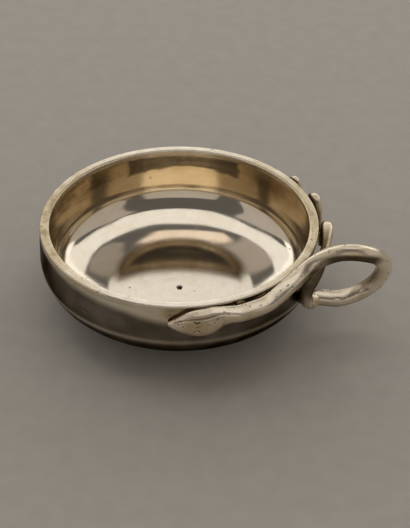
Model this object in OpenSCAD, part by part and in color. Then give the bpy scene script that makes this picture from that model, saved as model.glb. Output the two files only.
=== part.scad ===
// Silver wine-tasting cup with a serpent handle: a raised bowl with a flat-topped lip band,
// and a forged serpent whose head, finger loop and waved tail are soldered round the wall.
// The bowl stands on z = 0 with its axis on Z, and the finger loop points along +X.

/* [Bowl] */
// Outside diameter of the lip
rim_d = 82; // [74:0.5:92]
// Height of the bowl with its lip
bowl_h = 25.8; // [23:0.1:32]
// How far the belly stands out past the lip
belly_out = 0.4; // [0.2:0.1:2]
// Diameter of the flat that the bowl stands on
base_d = 30; // [24:0.5:36]
// Radius of the shallow arc between the flat and the knuckle
bottom_r = 40; // [34:1:60]
// Radius of the knuckle where the bottom turns up into the wall
knuckle_r = 12.5; // [8:0.5:14]
// Thickness of the raised sheet
wall_t = 1.1; // [0.7:0.1:1.6]
// Diameter of the centre mark in the floor
mark_d = 1.5; // [0.8:0.1:3]
// Depth of the centre mark
mark_depth = 0.4; // [0.2:0.05:0.6]

/* [Lip band] */
// Width of the lip's flat top
lip_w = 2.85; // [2.2:0.05:4]
// Thickness of the lip band
lip_t = 1.7; // [1.2:0.1:2.6]
// Rounding of the lip's top edges
lip_edge_r = 0.4; // [0.2:0.05:0.55]

/* [Serpent rod] */
// Diameter of the rod at the neck and round the loop
rod_d = 4.8; // [4:0.1:5.3]
// Thickness of the solder between the belly and the serpent
solder_t = 0.5; // [0.2:0.05:0.8]
// Half the width of the solder seam under the round rod
seam_w = 1.4; // [0.8:0.1:1.6]

/* [Head] */
// Direction of the head's tip, seen from above, from the loop
head_tip_az = -66; // [-76:1:-60]
// Direction in which the neck begins
neck_az = -40; // [-45:1:-35]
// Width of the head across its jaws
head_w = 8.6; // [7:0.1:9.6]
// Thickness of the head
head_t = 3; // [2:0.1:4]
// Width of the snout at its tip
snout_w = 1.6; // [1:0.1:2.4]
// How far the head's middle lies below the lip's top
head_drop = 4.8; // [4.6:0.1:7]

/* [Finger loop] */
// Inside diameter of the loop
loop_d = 17.6; // [16:0.1:19]
// Distance from the lip to the loop's middle
loop_out = 12.4; // [12:0.1:14]
// Height of the loop's middle below the lip's top
loop_drop = 1.5; // [0.8:0.1:2.4]
// Turn of the loop about the upright, away from pointing straight out
loop_turn = 44; // [38:1:48]
// Lean of the loop's top towards the head
loop_tilt = 20.5; // [16:0.5:24]
// Direction in which the rod leaves the wall for the loop
leave_az = -13.5; // [-17:0.5:-10]
// Height of the rod's middle above the lip's top where it leaves the wall
leave_rise = 1.6; // [0.8:0.1:2.4]
// Direction in which the rod comes back to the wall
return_az = -2.5; // [-5:0.5:-1]
// Bend radius of the rod where it turns back along the wall
bend_r = 2.7; // [2.6:0.1:3.4]

/* [Tail] */
// Diameter of the tail where it begins
tail_d = 3.5; // [2.8:0.1:4]
// Diameter of the tail at its tip
tail_tip_d = 1.3; // [1:0.1:2]
// Angle round the bowl from the tail's beginning to its first crest
first_rise = 28.5; // [24:0.5:34]
// Angle round the bowl from the first crest to the next trough
half_wave = 11.5; // [10:0.5:14]
// Share that each half wave keeps of the one before it
wave_shrink = 0.85; // [0.8:0.01:0.9]
// Height from the first trough to its crest
wave_h = 10.5; // [7:0.1:11]
// Height of the crests' middle below the lip's top
crest_drop = 1.5; // [1:0.1:3]
// Number of half waves after the first crest
half_waves = 5; // [3:1:6]

/* [Hidden] */
$fn = 96;
silver = "#cfc8ba";
bright_silver = "#dcd6ca";
solder_grey = "#a39c8c";

// Bowl profile: a flat, a shallow arc, the knuckle and a slightly bowed side, each tangent to the next
rim_r = rim_d / 2;
belly_r = rim_r + belly_out;
base_r = base_d / 2;
wall_top = bowl_h - lip_t;
knuckle_cx = belly_r - knuckle_r;
knuckle_z = bottom_r - sqrt(pow(bottom_r - knuckle_r, 2) - pow(knuckle_cx - base_r, 2));
tangent_a = atan2(knuckle_z - bottom_r, knuckle_cx - base_r);
side_h = wall_top - knuckle_z;
side_r = (belly_out * belly_out + side_h * side_h) / (2 * belly_out);
side_cx = belly_r - side_r;

// Serpent: rod radii, heights and the loop's frame
rod_r = rod_d / 2;
tail_r = tail_d / 2;
head_z = bowl_h - head_drop;
leave_z = bowl_h + leave_rise;
loop_r = loop_d / 2 + rod_r;
loop_c = [rim_r + loop_out, 0, bowl_h - loop_drop];
loop_u = [cos(loop_turn), sin(loop_turn), 0];
loop_n = [-sin(loop_turn), cos(loop_turn), 0];
loop_v = [0, 0, cos(loop_tilt)] - loop_n * sin(loop_tilt);
loop_from = 60;
loop_to = -89;
rise_pull = 1.6;
back_pull = 1.1;
run_bow = 1.3;
return_lift = 0.3;
return_z = loop_c[2] - loop_r * cos(loop_tilt) + return_lift;
tail_z = return_z + 2 * bend_r;
crest_z = bowl_h - crest_drop;
film = 0.02;
ring_sides = 20;
tail_sides = 16;

function unit(v) = v / norm(v);
function mix(a, b, t) = a + (b - a) * t;
function clamp01(t) = min(1, max(0, t));
function ease(t) = let (u = clamp01(t)) u * u * (3 - 2 * u);
function arc(c, r, a0, a1, n) = [for (i = [0:n]) let (a = mix(a0, a1, i / n)) c + r * [cos(a), sin(a)]];
function side_a(z, r) = asin((z - knuckle_z) / r);
function hermite(p0, d0, p1, d1, t) =
    p0 * (2 * t * t * t - 3 * t * t + 1) + d0 * (t * t * t - 2 * t * t + t)
    + p1 * (3 * t * t - 2 * t * t * t) + d1 * (t * t * t - t * t);

// Radius of the wall's outside at a height, and of the upright that the serpent is bent round
function wall_r(z) =
    let (h = min(z, wall_top))
    h >= knuckle_z
        ? side_cx + sqrt(side_r * side_r - pow(h - knuckle_z, 2))
        : knuckle_cx + sqrt(max(0, knuckle_r * knuckle_r - pow(knuckle_z - h, 2)));
function seat_r(z) = z >= knuckle_z ? belly_r : wall_r(z);
function at(r, az, z) = [r * cos(az), r * sin(az), z];
function on_wall(az, z) = at(wall_r(z) + film, az, z);
function off_seat(az, z, out) = at(seat_r(z) + out, az, z);
function along_wall(az) = [-sin(az), cos(az), 0];

// Height of the serpent's middle from its snout to where it leaves the wall
function run_part(az) = clamp01((az - head_tip_az) / (leave_az - head_tip_az));
function run_z(az) = mix(head_z, leave_z, pow(run_part(az), run_bow));
function run_point(az) = off_seat(az, run_z(az), solder_t + rod_r);

// Closed tube round a path: one ring of points for each place, turned as little as possible between places
function tangents(p) = [for (i = [0:len(p) - 1]) unit(p[min(i + 1, len(p) - 1)] - p[max(i - 1, 0)])];
function with_first(t, first) = [for (i = [0:len(t) - 1]) i == 0 ? first : t[i]];
function with_last(t, last) = [for (i = [0:len(t) - 1]) i == len(t) - 1 ? last : t[i]];
function normals(t, first) = [
    for (i = 0, n = unit(first - t[0] * (first * t[0])); i < len(t);
        i = i + 1, n = i < len(t) ? unit(n - t[i] * (n * t[i])) : n) n
];
function tube_points(p, t, r, first, sides) =
    let (n = normals(t, first))
    [for (i = [0:len(p) - 1]) for (k = [0:sides - 1])
        let (a = 360 * k / sides) p[i] + r[i] * (n[i] * cos(a) + cross(t[i], n[i]) * sin(a))];
function tube_faces(rings, sides) = concat(
    [[for (k = [0:sides - 1]) k]],
    [for (i = [0:rings - 2]) for (k = [0:sides - 1]) for (half = [0, 1])
        let (a = i * sides + k, b = i * sides + (k + 1) % sides)
        half == 0 ? [a, a + sides, b] : [b, a + sides, b + sides]],
    [[for (k = [sides - 1:-1:0]) (rings - 1) * sides + k]]
);
module tube(points, rings, sides) {
    polyhedron(points = points, faces = tube_faces(rings, sides), convexity = 8);
}

// Solder seam along a path on the wall: a strip with a hollow top that cups the round rod above it
function cup(x, r) = solder_t - film + r - sqrt(r * r - x * x);
function seam_section(az, z, low, high) = [
    on_wall(az, z + low), on_wall(az, z + (low + high) / 2), on_wall(az, z + high),
    for (f = [1, 0.75, 0.5, 0.25, 0]) let (x = mix(low, high, f)) at(seat_r(z) + cup(x, rod_r), az, z + x)
];

// Bowl: raised from one sheet, with the maker's centre mark left in the floor
module bowl() {
    outside = concat(
        [[0, 0]], arc([base_r, bottom_r], bottom_r, -90, tangent_a, 14),
        arc([knuckle_cx, knuckle_z], knuckle_r, mix(tangent_a, 0, 1 / 10), 0, 9),
        arc([side_cx, knuckle_z], side_r, side_a(wall_top, side_r) / 6, side_a(wall_top, side_r), 5)
    );
    inside_r = side_r - wall_t;
    inside = concat(
        arc([side_cx, knuckle_z], inside_r, side_a(wall_top, inside_r), 0, 6),
        arc([knuckle_cx, knuckle_z], knuckle_r - wall_t, mix(0, tangent_a, 1 / 10), tangent_a, 9),
        arc([base_r, bottom_r], bottom_r - wall_t, mix(tangent_a, -90, 1 / 14), -90, 13), [[0, wall_t]]
    );
    color(silver) difference() {
        rotate_extrude() polygon(concat(outside, inside));
        translate([0, 0, wall_t - mark_depth]) cylinder(h = wall_t, d = mark_d);
    }
}

// Lip: a flat band soldered on the edge of the sheet, flush outside and standing in over the bowl
module lip_band() {
    inner_r = rim_r - lip_w;
    color(bright_silver) rotate_extrude() polygon(concat(
        [[rim_r, wall_top]],
        arc([rim_r - lip_edge_r, bowl_h - lip_edge_r], lip_edge_r, 0, 90, 6),
        arc([inner_r + lip_edge_r, bowl_h - lip_edge_r], lip_edge_r, 90, 180, 6),
        arc([inner_r + lip_edge_r, wall_top + lip_edge_r], lip_edge_r, 180, 270, 6)
    ));
}

// Lip solder: a hollow fillet under the part of the band that stands in over the bowl
module lip_solder() {
    sheet_r = rim_r - wall_t;
    fillet_r = lip_w - wall_t - lip_edge_r;
    color(solder_grey) rotate_extrude() polygon(concat(
        [[sheet_r, wall_top]],
        arc([sheet_r - fillet_r, wall_top - fillet_r], fillet_r, 90, 0, 8)
    ));
}

// Head: a leaf-shaped snout and jaws, nearly flat behind and domed in front, drawn in to the round neck
head_rings = 22;
head_sides = 24;
jaw_at = 0.5;
back_dome = 0.05;
function head_half_w(s) = s < jaw_at
    ? mix(snout_w / 2, head_w / 2, pow(sin(90 * s / jaw_at), 0.9))
    : mix(head_w / 2, rod_r, ease((s - jaw_at) / (1 - jaw_at)));
function neck_part(s) = ease((s - 0.62) / 0.38);
function head_thick(s) = mix(0.35, 1, pow(sin(90 * clamp01(s / 0.45)), 0.7)) * head_t;
function head_ring(s) =
    let (az = mix(head_tip_az, neck_az, s), z = run_z(az))
    [for (k = [0:head_sides - 1])
        let (a = 360 * k / head_sides, up = cos(a), out = sin(a),
            front = head_thick(s) * pow(max(0, out), 0.6) + back_dome * min(0, out),
            leaf = [head_half_w(s) * up, solder_t + front],
            round_rod = [rod_r * up, solder_t + rod_r + rod_r * out],
            p = mix(leaf, round_rod, neck_part(s)))
        at(seat_r(z) + p[1], az, z + p[0])];
module serpent_head() {
    points = [for (i = [0:head_rings]) each head_ring(i / head_rings)];
    color(silver) tube(points, head_rings + 1, head_sides);
}

// Finger loop: the round rod follows the wall, rises into the tilted ring and turns back along the wall
run_steps = 12;
rise_steps = 18;
ring_steps = 24;
back_steps = 8;
turn_steps = 12;
function ring_point(a) = loop_c + loop_r * (loop_u * cos(a) + loop_v * sin(a));
function ring_way(a) = loop_u * sin(a) - loop_v * cos(a);
function bend_point(a) =
    let (z = return_z + bend_r * (1 - cos(a)), az = return_az - bend_r * sin(a) / wall_r(z) * 180 / PI)
    off_seat(az, z, solder_t + mix(rod_r, tail_r, ease(a / 180)));
rise_from = run_point(leave_az);
rise_way = unit(rise_from - run_point(leave_az - 1));
rise_len = rise_pull * norm(ring_point(loop_from) - rise_from);
back_to = bend_point(0);
back_len = back_pull * norm(back_to - ring_point(loop_to));
run_path = [for (i = [0:run_steps]) run_point(mix(neck_az, leave_az, i / run_steps))];
loop_path = concat(
    run_path,
    [for (i = [1:rise_steps])
        hermite(rise_from, rise_way * rise_len,
            ring_point(loop_from), ring_way(loop_from) * rise_len, i / rise_steps)],
    [for (i = [1:ring_steps]) ring_point(mix(loop_from, loop_to, i / ring_steps))],
    [for (i = [1:back_steps])
        hermite(ring_point(loop_to), ring_way(loop_to) * back_len,
            back_to, -along_wall(return_az) * back_len, i / back_steps)],
    [for (i = [1:turn_steps]) bend_point(180 * i / turn_steps)]
);
turn_first = len(loop_path) - turn_steps;
loop_radii = [
    for (i = [0:len(loop_path) - 1]) mix(rod_r, tail_r, ease((i - turn_first + 1) / turn_steps))
];
module serpent_loop() {
    ways = with_last(with_first(tangents(loop_path), along_wall(neck_az)), along_wall(return_az));
    points = tube_points(loop_path, ways, loop_radii, [0, 0, 1], ring_sides);
    color(silver) tube(points, len(loop_path), ring_sides);
}

// Tail: drawn down from the rod, up to its first crest and then in waves that shorten towards the tip
wave_steps = 10;
rise_rings = 14;
crest_bulge = 0.6;
crest_az = return_az + first_rise;
function wave_start(i) = crest_az + half_wave * (1 - pow(wave_shrink, i)) / (1 - wave_shrink);
function wave_z(i) = i % 2 == 0 ? crest_z : crest_z - wave_h * pow(wave_shrink, i - 1);
function wave_point(i, f) = [
    mix(wave_start(i), wave_start(i + 1), f + crest_bulge * sin(360 * f) / 360 * 180 / PI),
    mix(wave_z(i), wave_z(i + 1), (1 - cos(180 * f)) / 2)
];
tail_map = concat(
    [for (i = [0:rise_rings - 1])
        let (f = i / rise_rings) [mix(return_az, crest_az, f), mix(tail_z, crest_z, sin(90 * f))]],
    [for (i = [0:half_waves - 1]) for (k = [0:wave_steps - 1]) wave_point(i, k / wave_steps)],
    [wave_point(half_waves - 1, 1)]
);
tail_count = len(tail_map);
tail_radii = [for (i = [0:tail_count - 1]) mix(tail_r, tail_tip_d / 2, pow(i / (tail_count - 1), 1.2))];
tail_path = [
    for (i = [0:tail_count - 1]) off_seat(tail_map[i][0], tail_map[i][1], solder_t + tail_radii[i])
];
module serpent_tail() {
    ways = with_first(tangents(tail_path), along_wall(return_az));
    points = tube_points(tail_path, ways, tail_radii, [0, 0, 1], tail_sides);
    color(silver) tube(points, tail_count, tail_sides);
}

// Head solder: the thin bed under the head
module head_solder() {
    steps = 12;
    bed_share = 0.8;
    function bed(s) =
        let (az = mix(head_tip_az, neck_az, s), z = run_z(az),
            c = mix(head_half_w(s) * bed_share, seam_w, neck_part(s)), m = neck_part(s))
        concat(
            [for (f = [-1:0.5:1]) on_wall(az, z + f * c)],
            [for (f = [1:-0.5:-1])
                let (top = mix(solder_t - back_dome - film, cup(f * seam_w, rod_r), m))
                at(seat_r(z) + top, az, z + f * c)]
        );
    color(solder_grey) tube([for (i = [0:steps]) each bed(mix(0.06, 1, i / steps))], steps + 1, 10);
}

// Neck solder: the lump left showing between the neck and the lip
module neck_solder() {
    steps = 8;
    half_az = 2.4;
    lump_az = neck_az + half_az;
    function lump(t) =
        let (az = lump_az + half_az * t, c = run_point(az), z = c[2], r = norm([c[0], c[1]]),
            rise = 54 * sqrt(max(0, 1 - t * t)) + 14)
        concat(
            [for (f = [1:-0.25:0])
                at(r - (rod_r + film) * cos(f * rise), az, z + (rod_r + film) * sin(f * rise))],
            [for (f = [0, 1])
                let (h = min(z + rod_r * sin(f * rise), bowl_h - lip_edge_r))
                at(max(wall_r(h), rim_r) + film, az, h)]
        );
    color(solder_grey) tube([for (i = [0:steps]) each lump(-1 + 2 * i / steps)], steps + 1, 7);
}

// Loop solder: the seam under the rod past the neck and the seam where the rod comes back to the wall
module loop_solder() {
    steps = 10;
    run_end = pow((bowl_h - lip_edge_r - head_z) / (leave_z - head_z), 1 / run_bow);
    run_end_az = mix(head_tip_az, leave_az, min(0.9, run_end));
    color(solder_grey) {
        tube([for (i = [0:steps]) let (az = mix(neck_az, run_end_az, i / steps))
            each seam_section(az, run_z(az), -seam_w, -film)], steps + 1, 8);
        tube([for (i = [0:steps]) let (az = mix(return_az - 2.2, return_az + 2.2, i / steps))
            each seam_section(az, return_z, -seam_w, seam_w)], steps + 1, 8);
    }
}

// Tail solder: a seam under each trough, where the tail lies against the belly
module tail_solder() {
    seam_reach = 5;
    seam_a = 36;
    ways = tangents(tail_path);
    function seam_ring(i) =
        let (c = tail_path[i], r = (tail_radii[i] + film) / cos(seam_a / 2), out = unit([c[0], c[1], 0]),
            n = unit(out - ways[i] * (out * ways[i])), b = cross(n, ways[i]),
            cup_side = [for (f = [1:-1:-1]) c - n * r * cos(f * seam_a) + b * r * sin(f * seam_a)])
        concat([for (k = [2, 0]) let (q = cup_side[k]) on_wall(atan2(q[1], q[0]), q[2])], cup_side);
    color(solder_grey)
        for (trough = [1:2:half_waves]) {
            middle = rise_rings + trough * wave_steps;
            first = middle - seam_reach;
            last = min(middle + seam_reach, tail_count - 1);
            tube([for (i = [first:last]) each seam_ring(i)], last - first + 1, 5);
        }
}

bowl();
lip_band();
lip_solder();
serpent_head();
serpent_loop();
serpent_tail();
head_solder();
neck_solder();
loop_solder();
tail_solder();
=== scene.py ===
import functools
import math

import bpy
import numpy as np
from mathutils import Matrix, Vector, noise


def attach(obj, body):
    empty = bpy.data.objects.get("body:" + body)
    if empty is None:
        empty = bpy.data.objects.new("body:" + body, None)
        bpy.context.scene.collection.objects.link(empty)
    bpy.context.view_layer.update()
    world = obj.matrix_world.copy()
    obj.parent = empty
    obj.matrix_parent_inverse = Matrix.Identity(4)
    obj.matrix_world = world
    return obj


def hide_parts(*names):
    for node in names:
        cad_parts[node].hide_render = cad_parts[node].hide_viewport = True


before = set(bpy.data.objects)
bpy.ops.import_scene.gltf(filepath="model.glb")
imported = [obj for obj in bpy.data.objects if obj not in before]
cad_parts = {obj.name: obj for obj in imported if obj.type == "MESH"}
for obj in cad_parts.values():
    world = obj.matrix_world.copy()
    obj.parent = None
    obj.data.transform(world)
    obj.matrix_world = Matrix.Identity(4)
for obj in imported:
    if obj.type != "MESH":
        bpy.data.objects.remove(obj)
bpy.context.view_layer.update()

# Bowl: one round of sheet silver, raised with the hammer, planished, and burnished round and round inside.
# It stands on its own flat. The compass point that the smith worked from is left in the floor.
# Sizes here and below are in mm, and directions round the bowl in degrees from the finger loop.
MM = 0.001
RIM_R = 41.0
BOWL_H = 25.8
LIP_T = 1.7
WALL_TOP = BOWL_H - LIP_T
BELLY_R = 41.4
BASE_R = 15.0
BOTTOM_R = 40.0
KNUCKLE_R = 12.5
KNUCKLE_CX = BELLY_R - KNUCKLE_R
KNUCKLE_Z = BOTTOM_R - math.sqrt((BOTTOM_R - KNUCKLE_R) ** 2 - (KNUCKLE_CX - BASE_R) ** 2)
TANGENT = math.atan2(KNUCKLE_Z - BOTTOM_R, KNUCKLE_CX - BASE_R)
SIDE_R = ((BELLY_R - RIM_R) ** 2 + (WALL_TOP - KNUCKLE_Z) ** 2) / (2 * (BELLY_R - RIM_R))
SIDE_CX = BELLY_R - SIDE_R
SIDE_END = math.asin((WALL_TOP - KNUCKLE_Z) / SIDE_R)
SHEET_T = 1.1
MARK_R = 0.75
MARK_DEPTH = 0.4
MARK_EDGE = 0.13
FLOOR_R = 18.6
FLOOR_BEND = 600.0
FLOOR_END = math.asin(FLOOR_R / FLOOR_BEND)
DISH_R = 33.45
DISH_END = math.radians(31)
TURN_R = 9.2
LEAN_LOW = math.radians(6.8)
LEAN_TOP = math.radians(0.4)
DOWN = -math.pi / 2
SHARP_FROM = math.radians(48)
# The side where the serpent's head lies is the front, and hands hold the cup at right angles to it
FRONT = -62.7


def ramp(value, start, end):
    """Share that goes softly from 0, where a value is at start, to 1, where it is at end."""
    t = np.clip((value - start) / (end - start), 0, 1)
    return t * t * (3 - 2 * t)


def most(*shares):
    """Largest of several shares, place by place."""
    return functools.reduce(np.maximum, shares)


def at(r, az, z):
    """Points from radius, direction and height."""
    a = np.radians(az)
    return np.stack(np.broadcast_arrays(r * np.cos(a), r * np.sin(a), z), axis=-1)


def round_axis(grid):
    """Distance of points from the bowl's axis, and their direction round it."""
    return np.hypot(grid[..., 0], grid[..., 1]), np.degrees(np.arctan2(grid[..., 1], grid[..., 0]))


def all_round(n):
    """Angles of n places all round a circle."""
    return np.linspace(0, 2 * math.pi, n, endpoint=False)


def bend(cx, cz, r, a0, a1, n):
    """Arc in the section of a turned form, as radius and height."""
    a = np.linspace(a0, a1, n)
    return np.column_stack([cx + r * np.cos(a), cz + r * np.sin(a)])


def turned(section, turns):
    """Grid of points of a turned form: a ring of points for each place of its section."""
    a = all_round(turns)
    ring = np.column_stack([np.cos(a), np.sin(a), np.zeros(turns)])
    return section[:, None, :1] * ring + section[:, None, 1:] * np.array([0, 0, 1.0])


def way_on(line):
    """Distance along a line of points, from its start."""
    return np.concatenate([[0], np.cumsum(np.linalg.norm(np.diff(line, axis=0), axis=1))])[:, None]


def skin(grid):
    """Outward direction at each point of a grid that closes round."""
    around = np.roll(grid, -1, 1) - np.roll(grid, 1, 1)
    out = np.cross(around, np.gradient(grid, axis=0))
    return out / np.maximum(np.linalg.norm(out, axis=2, keepdims=True), 1e-9)


def uneven(grid, size, seed):
    """Handmade unevenness between about -1 and 1 that changes over a size in mm."""
    shift = Vector((17.3, 5.1, 9.7)) * seed
    flat = grid.reshape(-1, 3) / size
    return np.array([noise.noise(Vector(p) + shift) for p in flat]).reshape(grid.shape[:2])


def drawn_round(grid, stretch, across):
    """Places for a pattern that is stretched round the bowl, and in mm across that."""
    return np.stack([grid[..., 0] / stretch, grid[..., 1] / stretch, across * np.ones(grid.shape[:2])], axis=2)


def from_line(grid, line):
    """Distance of each point of a grid from a line of points."""
    best = np.full(grid.shape[:2], 1e9)
    for p, q in zip(line[:-1], line[1:]):
        way = q - p
        t = np.clip(((grid - p) @ way) / max(way @ way, 1e-9), 0, 1)
        best = np.minimum(best, np.linalg.norm(grid - p - t[..., None] * way, axis=2))
    return best


def sunk(grid, out, marks):
    """Grid with marks (line, half width, depth, grime share) sunk into it, and the grime that they hold."""
    depth = np.zeros(grid.shape[:2])
    dirt_and_shade = np.zeros(grid.shape[:2])
    for line, half_width, deep, grime_and_shade in marks:
        share = ramp(from_line(grid, np.asarray(line, float)), half_width, 0)
        depth = np.maximum(depth, share * deep)
        dirt_and_shade = np.maximum(dirt_and_shade, share ** 1.5 * grime_and_shade)
    return grid - out * depth[..., None], dirt_and_shade


def piece_of(name, grid, tarnish_and_painted_light, dirt_and_shade, lay, ends=True):
    """Object from a grid of points in mm, its ends closed by a point or joined to each other.

    The two shares say how toned and how dirty each point is, and they also carry painted light and painted shade; lay
    is its place in the brushed patterns.
    """
    rows, turns = grid.shape[:2]
    col = np.arange(turns)
    nxt = (col + 1) % turns
    last = rows - 1 if ends else rows
    quads = [np.column_stack([i * turns + col, i * turns + nxt, (i + 1) % rows * turns + nxt,
                              (i + 1) % rows * turns + col]) for i in range(last)]
    faces = np.concatenate(quads).tolist()
    points, fields = grid.reshape(-1, 3), [tarnish_and_painted_light.ravel(), dirt_and_shade.ravel()]
    lay = lay.reshape(-1, 3)
    if ends:
        first, final = rows * turns, rows * turns + 1
        faces += np.column_stack([np.full(turns, first), nxt, col]).tolist()
        faces += np.column_stack([last * turns + col, last * turns + nxt, np.full(turns, final)]).tolist()
        points = np.concatenate([points, grid[:1].mean(1), grid[-1:].mean(1)])
        lay = np.concatenate([lay, lay[:1], lay[-1:]])
        fields = [np.concatenate([f, f[:1], f[-1:]]) for f in fields]
    mesh = bpy.data.meshes.new(name)
    mesh.from_pydata((points * MM).tolist(), [], faces)
    for key, values in zip(("tarnish_and_painted_light", "dirt_and_shade"), fields):
        mesh.attributes.new(key, "FLOAT", "POINT").data.foreach_set("value", values.astype(np.float32))
    mesh.attributes.new("lay", "FLOAT_VECTOR", "POINT").data.foreach_set("vector", lay.astype(np.float32).ravel())
    mesh.shade_smooth()
    mesh.set_sharp_from_angle(angle=SHARP_FROM)
    piece = bpy.data.objects.new(name, mesh)
    bpy.context.scene.collection.objects.link(piece)
    return piece


def linear(hex_colour):
    """Linear colour from an sRGB hex value."""
    parts = [int(hex_colour[i:i + 2], 16) / 255 for i in (1, 3, 5)]
    return [c / 12.92 if c <= 0.04045 else ((c + 0.055) / 1.055) ** 2.4 for c in parts] + [1.0]


def put(tree, kind, links, **settings):
    """Adds a node, sets its properties, and links or sets its inputs, which go by name or number."""
    node = tree.nodes.new(kind)
    for key, value in settings.items():
        setattr(node, key, value)
    for socket, value in links.items():
        if isinstance(value, bpy.types.NodeSocket):
            tree.links.new(value, node.inputs[socket])
        else:
            node.inputs[socket].default_value = value
    return node


# What shows on old silver: clouds of toning, grains in it, and streaks that the polishing rag left
MOTTLE = 5.0
SPECK = 0.9
STREAK = 1.1
# Scratches are about 0.02 mm wide, so they are drawn 0.25 mm wide to show at this distance
SCRATCH = 0.25
# Pits are about 0.25 mm across, drawn twice as large to show, and only some of the 1.2 mm cells have one
PIT_CELL = 1.2
SPECK_DEPTH = 0.003
SCRATCH_DEPTH = 0.0012
PIT_DEPTH = 0.05
# The dark colour stands for dirt in hollows and also for painted shade and painted reflections
OLD_DIRT_AND_SHADE = "#2c2015"
DIRT_AND_SHADE_EDGE_ON = "#1c140d"


def aged_silver(name, clean, toned, brown, polished, dull, pits, cloud):
    """Old silver: worn parts bright, toned ones golden to brown, lines filled dark and painted shade dark too, all
    finely scratched and pitted.

    polished and dull are the roughness where it is worn bright and where it is toned.
    pits is the share of the surface with corrosion pits, cloud the roughness that handling adds.
    """
    material = bpy.data.materials.new(name)
    material.use_nodes = True
    tree = material.node_tree
    tree.nodes.clear()
    place = put(tree, "ShaderNodeTexCoord", {}).outputs["Object"]
    lay = put(tree, "ShaderNodeAttribute", {}, attribute_name="lay").outputs["Vector"]
    tarnish_and_painted_light = put(tree, "ShaderNodeAttribute", {}, attribute_name="tarnish_and_painted_light").outputs["Fac"]
    dirt_and_shade = put(tree, "ShaderNodeAttribute", {}, attribute_name="dirt_and_shade").outputs["Fac"]

    mottle = put(tree, "ShaderNodeTexNoise",
                 {"Vector": place, "Scale": 1 / (MOTTLE * MM), "Detail": 5.0, "Roughness": 0.6})
    speck = put(tree, "ShaderNodeTexNoise",
                {"Vector": place, "Scale": 1 / (SPECK * MM), "Detail": 3.0, "Roughness": 0.6})
    streak = put(tree, "ShaderNodeTexNoise", {"Vector": lay, "Scale": 1 / STREAK, "Detail": 4.0, "Roughness": 0.65})
    scratch = put(tree, "ShaderNodeTexNoise", {"Vector": lay, "Scale": 1 / SCRATCH, "Detail": 2.0, "Roughness": 0.7})

    # A map range takes its value at 0, from 1 and 2, to 3 and 4. A colour mix takes its share at 0, colours at 6 and 7
    blotch = put(tree, "ShaderNodeMapRange", {0: mottle.outputs[0], 1: 0.3, 2: 0.7, 3: -0.22, 4: 0.22})
    drift = put(tree, "ShaderNodeMapRange", {0: streak.outputs[0], 1: 0.3, 2: 0.7, 3: -0.2, 4: 0.2})
    fine = put(tree, "ShaderNodeMapRange", {0: speck.outputs[0], 1: 0.3, 2: 0.7, 3: -0.1, 4: 0.1})
    patchy = put(tree, "ShaderNodeMath", {0: blotch.outputs[0], 1: drift.outputs[0]}, operation="ADD")
    patchy = put(tree, "ShaderNodeMath", {0: patchy.outputs[0], 1: fine.outputs[0]}, operation="ADD")
    # The toning share also carries painted light and painted shade from the pieces
    uneven_by = put(tree, "ShaderNodeMapRange", {0: tarnish_and_painted_light, 1: 0.0, 2: 0.7, 3: 0.3, 4: 1.0})
    tone = put(tree, "ShaderNodeMath", {0: patchy.outputs[0], 1: uneven_by.outputs[0], 2: tarnish_and_painted_light},
               operation="MULTIPLY_ADD")

    light_tone = put(tree, "ShaderNodeMapRange", {0: tone.outputs[0], 1: 0.0, 2: 0.6})
    deep_tone = put(tree, "ShaderNodeMapRange", {0: tone.outputs[0], 1: 0.6, 2: 1.15})
    colour = put(tree, "ShaderNodeMix", {0: light_tone.outputs[0], 6: linear(clean), 7: linear(toned)},
                 data_type="RGBA")
    colour = put(tree, "ShaderNodeMix", {0: deep_tone.outputs[0], 6: colour.outputs[2], 7: linear(brown)},
                 data_type="RGBA")

    cell = put(tree, "ShaderNodeTexVoronoi", {"Vector": place, "Scale": 1 / (PIT_CELL * MM)})
    chance = put(tree, "ShaderNodeSeparateColor", {0: cell.outputs["Color"]})
    chosen = put(tree, "ShaderNodeMath", {0: chance.outputs[0], 1: pits}, operation="LESS_THAN")
    hole = put(tree, "ShaderNodeMapRange", {0: cell.outputs["Distance"], 1: 0.24, 2: 0.1})
    pit = put(tree, "ShaderNodeMath", {0: hole.outputs[0], 1: chosen.outputs[0]}, operation="MULTIPLY")
    # Real dirt, pits and the painted shade that the pieces carry all darken the colour here
    dark = put(tree, "ShaderNodeMath", {0: dirt_and_shade, 1: pit.outputs[0]}, operation="MAXIMUM")
    grime_and_shade = put(tree, "ShaderNodeMapRange", {0: dark.outputs[0], 1: 0.1, 2: 0.9, 3: 0.0, 4: 0.94})
    colour = put(tree, "ShaderNodeMix", {0: grime_and_shade.outputs[0], 6: colour.outputs[2], 7: linear(OLD_DIRT_AND_SHADE)},
                 data_type="RGBA")

    rough = put(tree, "ShaderNodeMapRange", {0: tone.outputs[0], 1: 0.0, 2: 1.0, 3: polished, 4: dull})
    haze = put(tree, "ShaderNodeMapRange", {0: mottle.outputs[0], 1: 0.4, 2: 0.7, 3: 0.0, 4: cloud})
    rough = put(tree, "ShaderNodeMath", {0: rough.outputs[0], 1: haze.outputs[0]}, operation="ADD")
    crust = put(tree, "ShaderNodeMapRange", {0: grime_and_shade.outputs[0], 1: 0.55, 2: 0.94, 3: 0.0, 4: 0.3})
    worn = put(tree, "ShaderNodeMath", {0: crust.outputs[0], 1: rough.outputs[0]}, operation="ADD")

    bump = put(tree, "ShaderNodeBump", {"Height": speck.outputs[0], "Strength": 1.0, "Distance": SPECK_DEPTH * MM})
    bump = put(tree, "ShaderNodeBump", {"Height": scratch.outputs[0], "Strength": 1.0,
                                        "Distance": SCRATCH_DEPTH * MM, "Normal": bump.outputs[0]})
    bump = put(tree, "ShaderNodeBump", {"Height": pit.outputs[0], "Strength": 1.0,
                                        "Distance": PIT_DEPTH * MM, "Normal": bump.outputs[0]}, invert=True)
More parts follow.
